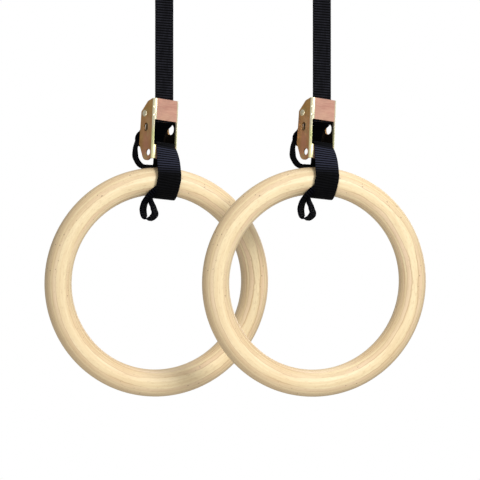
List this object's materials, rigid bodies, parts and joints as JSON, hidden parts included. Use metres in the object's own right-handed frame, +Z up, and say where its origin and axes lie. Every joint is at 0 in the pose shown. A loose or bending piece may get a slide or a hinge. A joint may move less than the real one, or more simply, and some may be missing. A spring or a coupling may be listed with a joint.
{
  "type": "gymnastics rings",
  "caption": "Pair of plywood gymnastics rings, each held in a webbing sling under a steel cam buckle on an adjustable strap with a sewn hanging loop.",
  "frame": {"origin": "midway between the centres of the two hanging loops", "axes": "+Z up along the straps, +X from the left unit to the right one, +Y away from the front of the rings"},
  "size_m": [0.392, 0.1456, 0.4887],
  "materials": {
    "birch_plywood": "sanded, thin matt varnish",
    "webbing": "ribbed woven nylon",
    "thread": "bonded nylon thread",
    "zinc_steel": "yellow passivated zinc plate",
    "rivet_steel": "zinc plated",
    "spring_steel": "bright wire"
  },
  "bodies": {
    "root": {"left_hanger_loop": "webbing", "left_hanger_stitching": "thread", "right_hanger_loop": "webbing", "right_hanger_stitching": "thread"},
    "left_strap": {"left_strap": "webbing"},
    "left_buckle": {"left_buckle_frame": "zinc_steel", "left_axle_rivet": "rivet_steel", "left_cam_spring": "spring_steel", "left_sling_head": "webbing", "left_sling_stitching": "thread", "left_tail": "webbing"},
    "left_lever": {"left_cam_lever": "zinc_steel"},
    "left_sling": {"left_sling": "webbing", "left_tail_end": "webbing"},
    "left_ring": {"left_ring": "birch_plywood"},
    "right_strap": {"right_strap": "webbing"},
    "right_buckle": {"right_buckle_frame": "zinc_steel", "right_axle_rivet": "rivet_steel", "right_cam_spring": "spring_steel", "right_sling_head": "webbing", "right_sling_stitching": "thread", "right_tail": "webbing"},
    "right_lever": {"right_cam_lever": "zinc_steel"},
    "right_sling": {"right_sling": "webbing", "right_tail_end": "webbing"},
    "right_ring": {"right_ring": "birch_plywood"}
  },
  "joints": [
    {"name": "left_swing", "type": "hinge", "parent": "root", "child": "left_strap", "pos_m": [-0.081, 0.03, -0.0535], "axis": [0.2419, -0.9703, 0], "range_deg": [-25, 25]},
    {"name": "left_length", "type": "slide", "parent": "left_strap", "child": "left_buckle", "axis": [0, 0, 1], "range_m": [-0.03, 0.07], "deforming": ["left_strap"]},
    {"name": "left_cam", "type": "hinge", "parent": "left_buckle", "child": "left_lever", "pos_m": [-0.08844, 0.03904, -0.17501], "axis": [0.7421, 0.6682, -0.0523], "range_deg": [0, 30], "stiffness_Nm_per_rad": 0.06, "springref_deg": -20.05},
    {"name": "left_tilt", "type": "hinge", "parent": "left_buckle", "child": "left_sling", "pos_m": [-0.07776, 0.02629, -0.22429], "axis": [0.9703, 0.2419, 0], "range_deg": [-15, 15], "deforming": ["left_tail", "left_tail_end"]},
    {"name": "left_spin", "type": "hinge", "parent": "left_sling", "child": "left_ring", "pos_m": [-0.089, 0.04, -0.3475], "axis": [0.2396, -0.9609, -0.1392], "continuous": true},
    {"name": "right_swing", "type": "hinge", "parent": "root", "child": "right_strap", "pos_m": [0.081, -0.03, -0.0585], "axis": [0.2419, -0.9703, 0], "range_deg": [-25, 25]},
    {"name": "right_length", "type": "slide", "parent": "right_strap", "child": "right_buckle", "axis": [0, 0, 1], "range_m": [-0.03, 0.07], "deforming": ["right_strap"]},
    {"name": "right_cam", "type": "hinge", "parent": "right_buckle", "child": "right_lever", "pos_m": [0.07356, -0.02096, -0.18001], "axis": [0.7421, 0.6682, -0.0523], "range_deg": [0, 30], "stiffness_Nm_per_rad": 0.06, "springref_deg": -20.05},
    {"name": "right_tilt", "type": "hinge", "parent": "right_buckle", "child": "right_sling", "pos_m": [0.08424, -0.03371, -0.22929], "axis": [0.9703, 0.2419, 0], "range_deg": [-15, 15], "deforming": ["right_tail", "right_tail_end"]},
    {"name": "right_spin", "type": "hinge", "parent": "right_sling", "child": "right_ring", "pos_m": [0.073, -0.02, -0.3525], "axis": [0.2396, -0.9609, -0.1392], "continuous": true}
  ]
}
